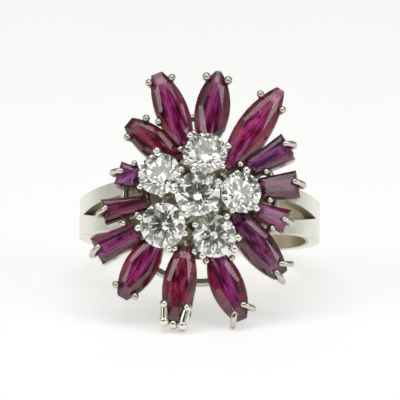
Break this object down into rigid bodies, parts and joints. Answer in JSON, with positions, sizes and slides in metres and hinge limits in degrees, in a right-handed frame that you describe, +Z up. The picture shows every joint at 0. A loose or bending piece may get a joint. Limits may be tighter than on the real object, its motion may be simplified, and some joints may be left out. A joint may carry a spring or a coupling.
{
  "type": "ruby and diamond ring",
  "caption": "White gold cluster ring: a raised group of round diamonds in a spray of marquise and tapered baguette rubies on a split-shoulder shank.",
  "frame": {"origin": "middle of the ring's box, on the surface on which the ring lies", "axes": "+Z up from that surface, -Y towards the side that the head faces, +X to the right as the head is seen"},
  "size_m": [0.02, 0.0261, 0.0193],
  "materials": {
    "white_gold": "polished",
    "diamond": "polished, faceted",
    "ruby": "polished, faceted",
    "violet_ruby": "polished, faceted"
  },
  "bodies": {
    "root": {"ring_mount": "white_gold", "diamond_centre": "diamond", "diamond_1": "diamond", "diamond_2": "diamond", "diamond_3": "diamond", "diamond_4": "diamond", "diamond_5": "diamond", "marquise_1": "ruby", "marquise_2": "ruby", "marquise_3": "ruby", "marquise_4": "ruby", "marquise_5": "ruby", "marquise_6": "ruby", "marquise_7": "ruby", "marquise_8": "ruby", "baguette_1": "violet_ruby", "baguette_2": "ruby", "baguette_3": "ruby", "baguette_4": "violet_ruby", "baguette_5": "ruby", "baguette_6": "ruby"}
  },
  "joints": []
}
